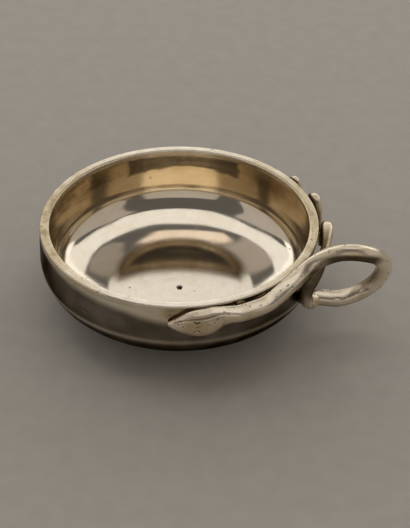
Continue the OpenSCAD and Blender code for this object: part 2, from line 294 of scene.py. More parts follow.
    # Dirt and painted shade also take the shine that metal has when it is seen edge on
    edge_on = put(tree, "ShaderNodeMix", {0: grime_and_shade.outputs[0], 6: linear("#ffffff"), 7: linear(DIRT_AND_SHADE_EDGE_ON)},
                  data_type="RGBA")
    shader = put(tree, "ShaderNodeBsdfPrincipled", {"Base Color": colour.outputs[2], "Metallic": 1.0,
                                                    "Roughness": worn.outputs[0], "Normal": bump.outputs[0],
                                                    "Specular Tint": edge_on.outputs[2]})
    put(tree, "ShaderNodeOutputMaterial", {"Surface": shader.outputs[0]})
    return material


outside = np.concatenate([
    np.linspace((0.5, 0), (BASE_R, 0), 16),
    bend(BASE_R, BOTTOM_R, BOTTOM_R, DOWN, TANGENT, 44)[1:],
    bend(KNUCKLE_CX, KNUCKLE_Z, KNUCKLE_R, TANGENT, 0, 40)[1:],
    bend(SIDE_CX, KNUCKLE_Z, SIDE_R, 0, SIDE_END, 28)[1:],
])
# Inside, the floor is nearly flat, and the wall leans out a little and straightens towards the lip
floor_line = bend(0, SHEET_T + FLOOR_BEND, FLOOR_BEND, DOWN + (MARK_R + MARK_EDGE) / FLOOR_BEND, DOWN + FLOOR_END, 40)
dish_at = (FLOOR_R - DISH_R * math.sin(FLOOR_END), floor_line[-1, 1] + DISH_R * math.cos(FLOOR_END))
dish_line = bend(*dish_at, DISH_R, DOWN + FLOOR_END, DOWN + DISH_END, 56)
turn_at = (dish_at[0] + (DISH_R - TURN_R) * math.sin(DISH_END),
           dish_at[1] - (DISH_R - TURN_R) * math.cos(DISH_END))
turn_line = bend(*turn_at, TURN_R, DOWN + DISH_END, -LEAN_LOW, 56)
rise = np.linspace(0, 1, 60)[:, None] * (WALL_TOP - turn_line[-1, 1])
lean = math.tan(LEAN_LOW) * rise + (math.tan(LEAN_TOP) - math.tan(LEAN_LOW)) * rise ** 2 / (2 * rise[-1])
wall_line = turn_line[-1] + np.hstack([lean, rise])
# The compass mark, from its rounded edge to its flat bottom
mark_line = [(MARK_R + 0.05, SHEET_T - 0.02), (MARK_R, SHEET_T - 0.09), (MARK_R - 0.03, SHEET_T - 0.24),
             (MARK_R - 0.1, SHEET_T - MARK_DEPTH + 0.03), (MARK_R - 0.3, SHEET_T - MARK_DEPTH),
             (0.2, SHEET_T - MARK_DEPTH)]
inside = np.concatenate([wall_line[::-1], turn_line[-2::-1], dish_line[-2::-1], floor_line[-2::-1], mark_line])
section = np.concatenate([outside, inside])
is_inside = (np.arange(len(section)) >= len(outside))[:, None]
grid = turned(section, 640)
out = skin(grid)
height = grid[..., 2]
radius, azimuth = round_axis(grid)

# Hammer marks of 7 mm and flats of 18 mm, at most a few hundredths deep and fading out at the edges
hammer = 0.008 * uneven(grid, 7, 1) + 0.03 * uneven(grid, 18, 2)
hammer = hammer * ramp(height, WALL_TOP, WALL_TOP - 1.2) * ramp(radius, 1.6, 5.6)
# Burnishing ridges 2 and 4 mm apart run round the inner wall, deeper at the sides where the cup was held
stretched = drawn_round(grid, 7, way_on(section))
ridge_zone = ramp(height, 8.5, 12.5) * is_inside
at_sides = np.sin(np.radians(azimuth - FRONT)) ** 4
ridges = 0.003 * uneven(stretched, 2.0, 3) + 0.006 * uneven(stretched, 4.2, 17)
ridges = ridges * ridge_zone * (1 + 2.2 * at_sides)
foot = ramp(radius, BASE_R - 2, BASE_R + 4)
sunk_in = 0.1 * ramp(height, WALL_TOP, WALL_TOP - 5)
move = np.where(is_inside, hammer + ridges, (hammer - sunk_in) * foot)
grid = grid + out * move[..., None]


def on_wall(az, z):
    """Point on the bowl's outside at a direction and a height."""
    if z < KNUCKLE_Z:
        return at(KNUCKLE_CX + math.sqrt(KNUCKLE_R ** 2 - (KNUCKLE_Z - z) ** 2), az, z)
    return at(SIDE_CX + math.sqrt(SIDE_R ** 2 - (z - KNUCKLE_Z) ** 2), az, z)


def pit_at(p, half_width, depth, grime_and_shade=0.7):
    """Mark for a single small pit."""
    p = np.asarray(p, float)
    return [p, p + np.array([0, 0, 0.05])], half_width, depth, grime_and_shade


dents = [pit_at(on_wall(-101.5, 16.9), 1.0, 0.25), pit_at(on_wall(-94.9, 19.05), 0.9, 0.22),
         pit_at(on_wall(-83, 18.65), 0.9, 0.22), pit_at(on_wall(-107.6, 23.6), 0.8, 0.3),
         pit_at(on_wall(-126, 16.2), 1.2, 0.15)]
grid, dirt_and_shade = sunk(grid, out, dents)
in_mark = is_inside * (radius < MARK_R + 0.02) * (height < 4)
dirt_and_shade = most(dirt_and_shade * 0.7, in_mark)

# The serpent's run along the wall, from the snout past the neck to where the rod leaves it
ROD_R = 2.4
HEAD_TIP = -66.0
NECK = -40.0
LEAVE = -13.5
HEAD_Z = BOWL_H - 4.8
LEAVE_Z = BOWL_H + 1.6
HEAD_HALF = 4.3
SNOUT_HALF = 0.45
JAW_AT = 0.5
HEAD_DROP = 0.35


def run_z(az):
    """Height of the serpent's middle from its snout to where it leaves the wall."""
    part = np.clip((az - HEAD_TIP) / (LEAVE - HEAD_TIP), 0, 1)
    return HEAD_Z + (LEAVE_Z - HEAD_Z) * part ** 1.3


def leaf_half(s):
    """Half the height of the serpent's head, s from its snout to its neck."""
    swell = np.sin(np.pi / 2 * np.clip(s / JAW_AT, 0, 1)) ** 0.9
    return np.where(s < JAW_AT, SNOUT_HALF + (HEAD_HALF - SNOUT_HALF) * swell,
                    HEAD_HALF + (ROD_R - HEAD_HALF) * ramp(s, JAW_AT, 1))


def jaw_z(az):
    """Height of the head's lower edge."""
    return run_z(az) - HEAD_DROP - leaf_half(np.clip((az - HEAD_TIP) / (NECK - HEAD_TIP), 0, 1))


# Painted shade darkens the gaps over and under the serpent's head, and the wall round the snout is toned brown as
# painted shade between the lip and the head
above = height - run_z(azimuth)
shade_over_serpent = ramp(azimuth, -59, -51) * ramp(azimuth, -7, -15) * ramp(above, 0.6, 2.2) * ~is_inside
shade_round_snout = ramp(azimuth, -71, -65) * ramp(azimuth, -56, -62) * ramp(np.abs(above - 2.4), 4.5, 0)
shade_under_jaw = ramp(np.abs(height - jaw_z(azimuth) + 0.35), 0.75, 0) * ramp(azimuth, -68, -65) * ramp(azimuth, -46, -50)
dirt_and_shade = most(dirt_and_shade, 0.75 * shade_over_serpent, 0.85 * shade_under_jaw * ~is_inside)
# The lower outside is painted dark, a painted reflection, up to a line that falls towards the loop, with a lighter
# band below the belly
DARK_REFLECTION_AT = [-180, -125, -83, -70, -40, 40, 180]
DARK_REFLECTION_TOP = [23.5, 24.6, 22.3, 20.6, 19.2, 19.2, 23.5]
LIGHTER_BAND_Z = 12.9
LIGHTER_BAND_HALF = 0.9
band = uneven(grid * np.array([1, 1, 3.0]), 22, 4)
mottle = uneven(grid, 5, 18)
dark_reflection_top = np.interp(azimuth, DARK_REFLECTION_AT, DARK_REFLECTION_TOP)
low_wall_reflection = ramp(height, dark_reflection_top + 1.8, dark_reflection_top - 1.8) * (0.78 + 0.1 * band + 0.08 * mottle)
low_wall_reflection = low_wall_reflection - 0.5 * np.exp(-((height - LIGHTER_BAND_Z) / LIGHTER_BAND_HALF) ** 2)
# A brown patch is left under the lip on the far side, ragged and deeper at its ends
PATCH_AT = 116.5
PATCH_HALF = 26.0
PATCH_LOW = 18.9
PATCH_TOP = 22.9
ragged = uneven(stretched, 1.3, 20) + 0.7 * uneven(grid, 2.2, 21)
from_mid = np.abs(azimuth - PATCH_AT) / PATCH_HALF + 0.05 * ragged
patch_low = PATCH_LOW - 1.6 * np.clip(from_mid, 0, 1) ** 1.5 + 0.7 * ragged
patch = ramp(height, patch_low - 0.45, patch_low + 0.45) * ramp(height, PATCH_TOP + 0.3, PATCH_TOP - 0.3)
patch = patch * ramp(from_mid, 1.045, 0.955) * (0.69 + 0.1 * ragged)
dirt_and_shade = np.where(is_inside, most(dirt_and_shade, patch), most(dirt_and_shade, low_wall_reflection))
# Toning: bright on the floor, golden up the inside, and browner on one side that polish hardly reached
UNPOLISHED_AT = -174.0
UNPOLISHED_HALF = 55.0
from_unpolished = np.mod(azimuth - UNPOLISHED_AT + 180, 360) - 180
unpolished = np.exp(-(from_unpolished / UNPOLISHED_HALF) ** 2) * ramp(height, 9, 14)
inner_tone = (0.05 + 0.22 * ramp(height, 6.5, 12.5) + 0.06 * ramp(height, 16.5, 20.5)
              + 0.14 * band * ramp(height, 0, 8) + unpolished * (0.28 + 0.3 * ramp(height, 15, 19))
              + 0.5 * uneven(stretched, 1.7, 19) * at_sides * ridge_zone)
# Outside, the toning is painted darker towards the bottom as a painted reflection, and brown round the snout as
# painted shade
outer_tone = 0.14 + 0.16 * ramp(height, 18, 10) + 0.16 * band + 0.1 * mottle + 0.75 * shade_round_snout
tarnish_and_painted_light = np.where(is_inside, inner_tone, outer_tone)
bowl = piece_of("raised_bowl", grid, tarnish_and_painted_light, dirt_and_shade, drawn_round(grid, 9, way_on(section)))
# Raised and burnished silver: it mirrors the light and its own wall, a little blurred
raised_silver = aged_silver("raised_silver", clean="#efe5d6", toned="#ddcba9", brown="#8a7558",
                            polished=0.085, dull=0.13, pits=0.006, cloud=0.03)
bowl.data.materials.append(raised_silver)
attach(bowl, "root")
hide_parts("bowl")

# Solder under the lip: silver solder run into the corner between the sheet and the band that stands in over it.
# It drew itself hollow when it flowed, and it has gone dull and brown.
LIP_W = 2.85
LIP_EDGE_R = 0.4
FILLET_R = LIP_W - SHEET_T - LIP_EDGE_R
FILLET_POINTS = 14


def hollows(grid, size, seed):
    """Handmade unevenness from 0 to 1, to be taken off a surface."""
    return 0.5 + 0.5 * uneven(grid, size, seed)


sheet_r = RIM_R - SHEET_T
section = np.concatenate([
    bend(sheet_r - FILLET_R, WALL_TOP - FILLET_R, FILLET_R, 0, math.pi / 2, FILLET_POINTS),
    np.linspace((sheet_r - FILLET_R, WALL_TOP), (sheet_r, WALL_TOP), 5)[1:],
    np.linspace((sheet_r, WALL_TOP), (sheet_r, WALL_TOP - FILLET_R), 6)[1:-1],
])
grid = turned(section, 480)
out = skin(grid)
open_side = np.sin(np.linspace(0, 1.7 * math.pi, len(section))) * (np.arange(len(section)) < FILLET_POINTS)
grid = grid - out * (0.1 * np.clip(open_side, 0, 1)[:, None] * hollows(grid, 3, 5))[..., None]
lip_solder = piece_of("lip_fillet", grid, 0.15 + 0.2 * uneven(grid, 4, 6), np.full(grid.shape[:2], 0.05),
                      grid / 3, False)
# Silver solder: yellower and duller than the silver, with pits from the flux
silver_solder = aged_silver("silver_solder", clean="#f2e7d3", toned="#b39b70", brown="#6a543a",
                            polished=0.26, dull=0.4, pits=0.1, cloud=0.1)
lip_solder.data.materials.append(silver_solder)
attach(lip_solder, "root")
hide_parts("lip_solder")

# Lip band: a flat strip of silver bent to a ring and soldered on the sheet's edge, filed flat and worn smooth.
# A fine step runs round the top near its inner edge, and the lip has taken a few nicks.
INNER_R = RIM_R - LIP_W
STEP_R = INNER_R + 0.72
STEP_H = 0.045
TOP_FALL = 0.045
EDGE_FALL = 0.12
edge = LIP_EDGE_R
step_top = BOWL_H - TOP_FALL
section = np.concatenate([
    np.linspace((RIM_R, WALL_TOP), (RIM_R, BOWL_H - edge), 6)[:-1],
    bend(RIM_R - edge, BOWL_H - edge, edge, 0, math.pi / 2, 10),
    np.linspace((RIM_R - edge, BOWL_H), (STEP_R + 0.06, step_top), 9)[1:],
    np.linspace((STEP_R + 0.02, step_top - 0.01), (STEP_R - 0.06, step_top - STEP_H), 3),
    np.linspace((STEP_R - 0.1, step_top - STEP_H), (INNER_R + edge, step_top - STEP_H - 0.02), 4)[1:-1],
    bend(INNER_R + edge, BOWL_H - edge - EDGE_FALL, edge, math.pi / 2, math.pi, 9),
    np.linspace((INNER_R, BOWL_H - edge - EDGE_FALL), (INNER_R, WALL_TOP + edge), 4)[1:-1],
    bend(INNER_R + edge, WALL_TOP + edge, edge, math.pi, 1.5 * math.pi, 7),
    np.linspace((INNER_R + edge, WALL_TOP), (RIM_R, WALL_TOP), 6)[1:-1],
])
grid = turned(section, 1440)
out = skin(grid)
free = ramp(grid[..., 2], WALL_TOP + 0.1, WALL_TOP + 0.6)
wave = 0.04 * hollows(grid, 9, 7) + 0.008 * hollows(grid, 2.5, 8)
grid = grid - out * (wave * free)[..., None]


def on_lip(az, r):
    """Point on the lip's flat top."""
    return at(r, az, BOWL_H)


nicks = [pit_at(on_lip(-147.2, 40.5), 0.6, 0.22), pit_at(on_lip(14.3, 39.5), 0.5, 0.2),
         pit_at(on_lip(-95, 40.9), 0.7, 0.2), pit_at(on_lip(171, 40.8), 0.5, 0.15),
         ([on_lip(102, 39.2), on_lip(104, 40.2)], 0.3, 0.07, 0.3)]
grid, dirt_and_shade = sunk(grid, out, nicks)
height = grid[..., 2]
radius, azimuth = round_axis(grid)
step = ramp(np.abs(radius - STEP_R + 0.02), 0.16, 0) * (height > BOWL_H - 0.3)
# Painted shade darkens the lip's lower outer edge over the serpent's run
shade_by_serpent = (ramp(azimuth, -58, -50) * ramp(azimuth, -4, -12) * ramp(radius, RIM_R - 0.3, RIM_R - 0.1)
              * ramp(height, BOWL_H - 0.25, BOWL_H - 0.65))
dirt_and_shade = most(dirt_and_shade, 0.16 * step, 0.7 * shade_by_serpent)
outer_side = ramp(radius, RIM_R - 0.4, RIM_R - 0.1) * ramp(height, BOWL_H - 0.2, BOWL_H - 0.8)
# The lip's outer side by the snout is toned brown as painted shade
snout_shade = ramp(azimuth, -72, -64) * ramp(azimuth, -50, -60) * outer_side
held = np.sin(np.radians(azimuth - FRONT)) ** 2
tarnish_and_painted_light = 0.1 + 0.12 * outer_side + 0.75 * snout_shade + 0.55 * held + 0.1 * uneven(grid, 12, 9)
lip = piece_of("lip_band_ring", grid, tarnish_and_painted_light, dirt_and_shade, drawn_round(grid, 6, radius + height), False)
# Filed silver, worn by lips and hands: a pale satin, toned at the two sides where it was held
lip_silver = aged_silver("lip_silver", clean="#f2e9da", toned="#d3c2a2", brown="#8a7353",
                         polished=0.2, dull=0.32, pits=0.03, cloud=0.04)
lip.data.materials.append(lip_silver)
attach(lip, "root")
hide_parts("lip_band")

# Serpent's head: the rod's end forged flat to a leaf, filed, and chased with a punch and a lining tool.
# It lies on the wall under the lip with its snout forward, and its marks are filled with old dirt.
SEAT_GAP = 0.5
HEAD_T = 3.0
TOP_FLAT = np.array([0.193, -0.349, 0.917])
FLAT_KEEP = 0.76
FLAT_SOFT = 0.05
MM_PER_DEG = 0.76


def seat(z):
    """Radius of the upright that the serpent is bent round, at a height."""
    low = KNUCKLE_CX + np.sqrt(np.maximum(0, KNUCKLE_R ** 2 - (KNUCKLE_Z - z) ** 2))
    return np.where(z >= KNUCKLE_Z, BELLY_R, low)


def neck_lift(az):
    """How far the neck was knocked up towards the lip and the rod behind it hangs, in mm."""
    return (0.7 * np.exp(-((az + 44) / 3.6) ** 2) - 0.35 * np.exp(-((az + 52.5) / 3) ** 2)
            - 1.2 * np.exp(-((az + 28.5) / 7) ** 2))


def rod_flats(ring):
    """Share of the rod's radius left by the broad flat that forging gave its top, soft at its edges."""
    level = ring @ TOP_FLAT
    over = FLAT_SOFT * np.log1p(np.exp((level - FLAT_KEEP) / FLAT_SOFT))
    return 1 - 0.9 * over / np.maximum(level, 0.2)


s = np.linspace(0, 1, 220)[:, None]
a = all_round(150)[None, :]
# Section of the leaf: a bevel that faces up, the ridge, a nearly upright front face, and a back that lies on the wall
turn_deg = [0, 18, 36, 46, 70, 90, 115, 140, 160, 180, 200, 270, 340, 360]
leaf_up = [1.0, 0.885, 0.77, 0.67, 0.32, 0, -0.4, -0.75, -0.95, -1.0, -0.95, 0, 0.96, 1.0]
leaf_off = [0.12, 0.45, 0.8, 0.91, 0.985, 1.0, 0.96, 0.83, 0.56, 0.26, 0, -0.017, 0, 0.12]
reach = np.arange(-6, 7)
weights = np.exp(-0.5 * (reach / 2.0) ** 2)


def softened(values):
    """Values round the leaf's section, with its corners rounded."""
    full = np.interp(np.degrees(a[0]), turn_deg, values)
    return sum(w * np.roll(full, k) for k, w in zip(reach, weights / weights.sum()))[None, :]


head_az = HEAD_TIP + (NECK - HEAD_TIP) * s
thick = (0.16 + 0.84 * np.sin(np.pi / 2 * np.clip(s / 0.45, 0, 1)) ** 0.7) * HEAD_T
to_neck = ramp(s, 0.62, 1)
rod = ROD_R * rod_flats(at(np.sin(a), head_az, np.cos(a)))
brow = -HEAD_DROP * ramp(s, 0.85, 0.55) - np.maximum(0, -np.cos(a)) * 0.5 * np.exp(-((s - 0.66) / 0.1) ** 2)
to_snout = 0.75 * ramp(s, 0.45, 0.15)
leaf_u = softened(leaf_up) * (1 - to_snout) + np.cos(a) * to_snout
leaf_o = softened(leaf_off) * (1 - to_snout) + np.maximum(0, np.sin(a)) ** 0.85 * to_snout
up = (1 - to_neck) * leaf_half(s) * leaf_u + to_neck * rod * np.cos(a) + brow
off = (1 - to_neck) * (SEAT_GAP + thick * leaf_o) + to_neck * (SEAT_GAP + ROD_R + rod * np.sin(a))
grid = at(seat(run_z(head_az)) + off, head_az, run_z(head_az) + neck_lift(head_az) + up)
out = skin(grid)
grid = grid - out * (0.025 * hollows(grid, 9, 10))[..., None]
facing = out[..., 0] * np.cos(np.radians(head_az)) + out[..., 1] * np.sin(np.radians(head_az))
head_grid, point_az = grid, round_axis(grid)[1]


def on_head(az, z):
    """Point of the head's front at a direction and a height."""
    miss = ((point_az - az) * MM_PER_DEG) ** 2 + (head_grid[..., 2] - z) ** 2 + 1e3 * (facing < 0.05)
    return head_grid[np.unravel_index(miss.argmin(), miss.shape)]


def stroke(az, z, radius, a0, a1, n=9):
    """Curved stroke of a punch round a place on the head, radius in mm and angles in degrees."""
    turn = np.radians(np.linspace(a0, a1, n))
    return [on_head(az + radius * math.cos(t) / MM_PER_DEG, z + radius * math.sin(t)) for t in turn]


def line_on_head(places, n=8):
    """Chased line through places on the head."""
    steps = np.linspace(0, len(places) - 1, n * (len(places) - 1) + 1)
    az, z = (np.interp(steps, range(len(places)), values) for values in zip(*places))
    return [on_head(*place) for place in zip(az, z)]


def along_head(turn, s0, s1):
    """Line along the head at one place of its section."""
    last, turns = len(head_grid) - 1, head_grid.shape[1]
    rows = np.linspace(s0 * last, s1 * last, 24).astype(int)
    return head_grid[rows, int(turn / 360 * turns)]


chased = [
    (along_head(47, 0.1, 0.77), 0.42, 0.26, 0.6),
    (along_head(163, 0.06, 0.62), 0.34, 0.16, 0.6),
    (stroke(-55.4, 23.5, 0.75, 205, 335), 0.5, 0.4, 0.9),
    (stroke(-51.2, 22.6, 0.8, 60, 300, 15), 0.36, 0.14, 0.35),
    (stroke(-55.4, 19.3, 0.7, 20, 160), 0.42, 0.3, 0.75),
    (line_on_head([(-48.4, 23.3), (-47.9, 23.9)], 3), 0.36, 0.24, 0.7),
    pit_at(on_head(-45.7, 25.4), 0.5, 0.3), pit_at(on_head(-53.6, 23.7), 0.4, 0.25),
    (line_on_head([(-43.8, 25.2), (-40.4, 24.8)], 6), 0.4, 0.16, 0.45),
    (line_on_head([(-46.9, 24.0), (-45.7, 22.6), (-46.4, 20.8)]), 0.6, 0.14, 0.2),
    (line_on_head([(-61.2, 22.9), (-61, 22.3)], 3), 0.4, 0.28, 0.75),
]
# The lining tool threw up a burr beside the long line
burr = ramp(from_line(grid, along_head(59, 0.1, 0.77)), 0.42, 0)
grid, dirt_and_shade = sunk(grid + out * 0.15 * burr[..., None], out, chased)
# Painted shade darkens and browns the head's faces that turn away from the front, and faces that look up are toned
# lighter as painted light
shadowed = ramp(facing, 0.25, -0.25) * (1 - to_neck)
dirt_and_shade = most(dirt_and_shade, shadowed * 0.7)
tarnish_and_painted_light = (0.4 - 0.16 * to_neck + 0.25 * shadowed + 0.14 * uneven(grid, 5, 11)
           - 0.28 * ramp(out[..., 2], 0.3, 0.8) - 0.4 * ramp(s, 0.3, 0.1) - 0.25 * burr)
lay = np.stack(np.broadcast_arrays(grid[..., 2], head_az * MM_PER_DEG / 7, facing), axis=2)
head = piece_of("serpent_head_leaf", grid, tarnish_and_painted_light, dirt_and_shade, lay)
# Chased silver: satin from handling, pitted, black in the lines, and dark where shade is painted
chased_silver = aged_silver("chased_silver", clean="#f6e9d4", toned="#d2bc95", brown="#614b33",
                            polished=0.27, dull=0.42, pits=0.4, cloud=0.06)
head.data.materials.append(chased_silver)
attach(head, "root")
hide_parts("serpent_head")

# Solder bed under the head: the thin film of silver solder that holds the leaf to the wall.
# Its edge shows as a dark line round the head.


def show_solid(node, material):
    """Gives a piece that shows as its own solid a material."""
    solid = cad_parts[node].data
    solid.materials.clear()
    solid.materials.append(material)


# Silver solder under old dirt: brown and dull, as no rag gets to it
grimy_solder = aged_silver("grimy_solder", clean="#6b5941", toned="#57462f", brown="#3a2c1d",
                           polished=0.4, dull=0.5, pits=0.2, cloud=0.1)
show_solid("head_solder", grimy_solder)

# Solder lump at the neck: what was left over when the neck was tacked to the lip.
# It stands in the gap between them, rounded and brown.
BEAD_AT = -37.6
BEAD_SPAN = 1.7
BEAD_OUT = 41.7
BEAD_Z = 24.95
BEAD_R = 0.6
bead_az = np.linspace(BEAD_AT - BEAD_SPAN, BEAD_AT + BEAD_SPAN, 40)[:, None]
swell = np.sqrt(np.maximum(0.02, 1 - ((bead_az - BEAD_AT) / (BEAD_SPAN + 0.05)) ** 2))
a = all_round(36)[None, :]
grid = at(BEAD_OUT + BEAD_R * swell * np.cos(a), bead_az, BEAD_Z + BEAD_R * swell * np.sin(a))
grid = grid - skin(grid) * (0.16 * hollows(grid, 1.2, 15))[..., None]
bead = piece_of("neck_solder_bead", grid, 0.85 + 0.3 * uneven(grid, 1, 16), np.full(grid.shape[:2], 0.4), grid / 3)
bead.data.materials.append(silver_solder)
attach(bead, "root")
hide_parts("neck_solder")

# Serpent's body: a round rod, forged by hand, that follows the wall and rises into the finger loop.
# It was bent hot round a bar, turns back to the wall and is drawn down to the tail, and has flats and pits.
TAIL_R = 1.75
LOOP_BORE = 17.6
LOOP_R = LOOP_BORE / 2 + ROD_R
LOOP_TURN = math.radians(44)
LOOP_TILT = math.radians(20.5)
LOOP_C = np.array([RIM_R + 12.4, 0, BOWL_H - 1.5])
LOOP_Z = LOOP_C[2]
LOOP_U = np.array([math.cos(LOOP_TURN), math.sin(LOOP_TURN), 0])
LOOP_V = np.array([math.sin(LOOP_TURN) * math.sin(LOOP_TILT), -math.cos(LOOP_TURN) * math.sin(LOOP_TILT),
                   math.cos(LOOP_TILT)])
LOOP_FROM = 60
LOOP_TO = -89
RETURN = -2.5
BEND_R = 2.7
BEND_POINTS = 61
RETURN_Z = LOOP_Z - LOOP_R * math.cos(LOOP_TILT) + 0.3


def loop_at(deg):
    """Point of the finger loop's middle line."""
    t = math.radians(deg)
    return LOOP_C + LOOP_R * (LOOP_U * math.cos(t) + LOOP_V * math.sin(t))


def loop_way(deg):
    """Direction of the rod along the finger loop."""
    t = math.radians(deg)
    return LOOP_U * math.sin(t) - LOOP_V * math.cos(t)


def sprung(p0, d0, p1, d1, n):
    """Curve that a sprung rod takes between two places and directions."""
    t = np.linspace(0, 1, n)[1:, None]
    return (p0 * (2 * t ** 3 - 3 * t ** 2 + 1) + d0 * (t ** 3 - 2 * t ** 2 + t)
            + p1 * (3 * t ** 2 - 2 * t ** 3) + d1 * (t ** 3 - t ** 2))


def run_point(az):
    """Point of the rod's middle line along the wall."""
    return at(seat(run_z(az)) + SEAT_GAP + ROD_R, az, run_z(az) + neck_lift(az))


def rod_along(path, turns, first, last=None):
    """Directions along a path with given end directions, and unit rings round it that twist as little as can be."""
    ways = np.gradient(path, axis=0)
    ways[0] = first
    ways[-1] = ways[-1] if last is None else last
    ways = ways / np.linalg.norm(ways, axis=1, keepdims=True)
    side = np.array([0, 0, 1.0])
    sides = np.empty_like(ways)
    for i, way in enumerate(ways):
        side = side - way * (side @ way)
        side = side / np.linalg.norm(side)
        sides[i] = side
    a = all_round(turns)[None, :, None]
    return ways, sides[:, None] * np.cos(a) + np.cross(ways, sides)[:, None] * np.sin(a)


def along_wall(az):
    """Direction round the wall at a place."""
    return np.array([-math.sin(math.radians(az)), math.cos(math.radians(az)), 0])


leave_point = run_point(np.array(LEAVE))
leave_way = leave_point - run_point(np.array(LEAVE - 1))
leave_way = leave_way / np.linalg.norm(leave_way)
rise_len = 1.6 * np.linalg.norm(loop_at(LOOP_FROM) - leave_point)
turn_a = np.linspace(0, math.pi, BEND_POINTS)
turn_z = RETURN_Z + BEND_R * (1 - np.cos(turn_a))
turn_az = RETURN - np.degrees(BEND_R * np.sin(turn_a) / seat(turn_z))
turn_r = ROD_R + (TAIL_R - ROD_R) * ramp(turn_a, 0, math.pi)
turn_path = at(seat(turn_z) + SEAT_GAP + turn_r, turn_az, turn_z)
back_len = 1.1 * np.linalg.norm(turn_path[0] - loop_at(LOOP_TO))
path = np.concatenate([
    run_point(np.linspace(NECK, LEAVE, 70)),
    sprung(leave_point, leave_way * rise_len, loop_at(LOOP_FROM), loop_way(LOOP_FROM) * rise_len, 91),
    np.array([loop_at(d) for d in np.linspace(LOOP_FROM, LOOP_TO, 150)])[1:],
    sprung(loop_at(LOOP_TO), loop_way(LOOP_TO) * back_len, turn_path[0], -along_wall(RETURN) * back_len, 50),
    turn_path[1:],
])
radii = np.full(len(path), ROD_R)
radii[-BEND_POINTS:] = ROD_R + (TAIL_R - ROD_R) * ramp(turn_a, 0, 1.9)
ways, ring = rod_along(path, 96, along_wall(NECK), along_wall(RETURN))
travel = way_on(path)

# The top is hammered flat along the lip and again on the loop's lower side; between them the rod is round
hammered = ramp(travel, 30, 16)
low_side = 0.85 * ramp(path[:, 2:], LOOP_Z - 4, LOOP_Z - 8) * ramp(travel, travel[-1] - 4, travel[-1] - 10)
shape = 1 - (1 - rod_flats(ring)) * (hammered + low_side)
plain_rod = path[:, None] + ring * ROD_R
forged = 0.015 + 0.02 * hollows(plain_rod, 9, 10) + 0.006 * ramp(travel, 6, 16) * hollows(plain_rod, 2.5, 12)
grid = path[:, None] + ring * (radii[:, None] * shape - forged)[..., None]
out = skin(grid)
scars = [
    (np.linspace((50.44, 0.32, 15.11), (57.74, 5.30, 17.65), 6), 0.6, 0.3, 0.6),
    (np.linspace((53.8, 2.6, 16.25), (57.9, 5.4, 17.7), 4), 0.95, 0.34, 0.6),
    pit_at((59.39, 6.67, 24.83), 0.7, 0.35, 0.95), pit_at((60.1, 7.2, 24.3), 0.5, 0.3, 0.95),
    pit_at((45.3, -10.4, 28.7), 0.5, 0.2), pit_at((42.7, -18.4, 26.8), 0.6, 0.22),
    pit_at((61.3, 6.9, 18.9), 0.5, 0.15),
]
grid, dirt_and_shade = sunk(grid, out, scars)
# Dirt and painted shade darken the rod by the wall, and painted shade darkens it under the loop, inside it and at the
# bend; upright parts and faces that look up are toned lighter as painted light, and the rest is rubbed bright
height, facing_up = grid[..., 2], out[..., 2]
radius = round_axis(grid)[0]
steep = np.abs(ways[:, None, 2])
wall_side = -(out[..., 0] * grid[..., 0] + out[..., 1] * grid[..., 1]) / radius
by_wall = ramp(radius, 46.5, 44)
crevice = ramp(wall_side, 0.25, 0.85) * by_wall
underside = ramp(facing_up, -0.3, -0.7) * (1 - by_wall) * ramp(height, LOOP_Z - 1, LOOP_Z - 6)
in_loop = ramp(facing_up, 0.45, 0.05) * ramp(height, LOOP_Z + 0.5, LOOP_Z + 4.5) * (1 - by_wall)
in_loop = in_loop * ramp(steep, 0.8, 0.45)
at_turn = ramp(travel, travel[-1] - 6.5, travel[-1] - 3)
dirt_and_shade = most(dirt_and_shade, 0.8 * crevice, 0.65 * underside, 0.8 * in_loop, 0.8 * at_turn)
tarnish_and_painted_light = (0.24 - 0.2 * ramp(steep, 0.5, 0.8) * (1 - by_wall) - 0.2 * ramp(facing_up, 0.2, 0.7)
           + 0.3 * crevice + 0.2 * in_loop + 0.2 * underside + 0.3 * at_turn + 0.14 * uneven(grid, 5, 11))


def drawn_along(ring, rod_r, travel):
    """Places for a pattern that is stretched along a rod."""
    return np.stack(np.broadcast_arrays(ring[..., 0] * rod_r + ring[..., 2], ring[..., 1] * rod_r, travel / 7), axis=2)


body = piece_of("serpent_body_loop", grid, tarnish_and_painted_light, dirt_and_shade, drawn_along(ring, ROD_R, travel))
# Forged silver: satin from handling, dented and pitted, brown where fingers don't rub and where shade is painted
forged_silver = aged_silver("forged_silver", clean="#f6e9d4", toned="#d2bc95", brown="#614b33",
                            polished=0.27, dull=0.42, pits=0.5, cloud=0.06)
body.data.materials.append(forged_silver)
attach(body, "root")
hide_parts("serpent_loop")

# Solder under the rod: seams where the body lies on the wall, past the neck and where the loop comes back.
# They lie back from the rod's edge and show as a dark joint.
show_solid("loop_solder", grimy_solder)

# Serpent's tail: the rod drawn thin and bent in waves that shorten to the tip.
# Its crests are hammered broad and flat like small spoons, and the strands between them are left round.
TAIL_TIP_R = 0.65
CREST = RETURN + 28.5
CREST_Z = BOWL_H - 1.5
WAVE_H = 10.5
HALF_WAVE = 11.5
SHRINK = 0.85
HALF_WAVES = 5
TAIL_Z = RETURN_Z + 2 * BEND_R
CREST_FLATS = ((0, 11), (2, 7), (4, 5))
CREST_SOFT = 0.06


def wave_start(i):
    """Direction at which a half wave begins."""
    return CREST + HALF_WAVE * (1 - SHRINK ** i) / (1 - SHRINK)


def wave_z(i):
    """Height at which a half wave begins: a crest or a trough."""
    return CREST_Z if i % 2 == 0 else CREST_Z - WAVE_H * SHRINK ** (i - 1)


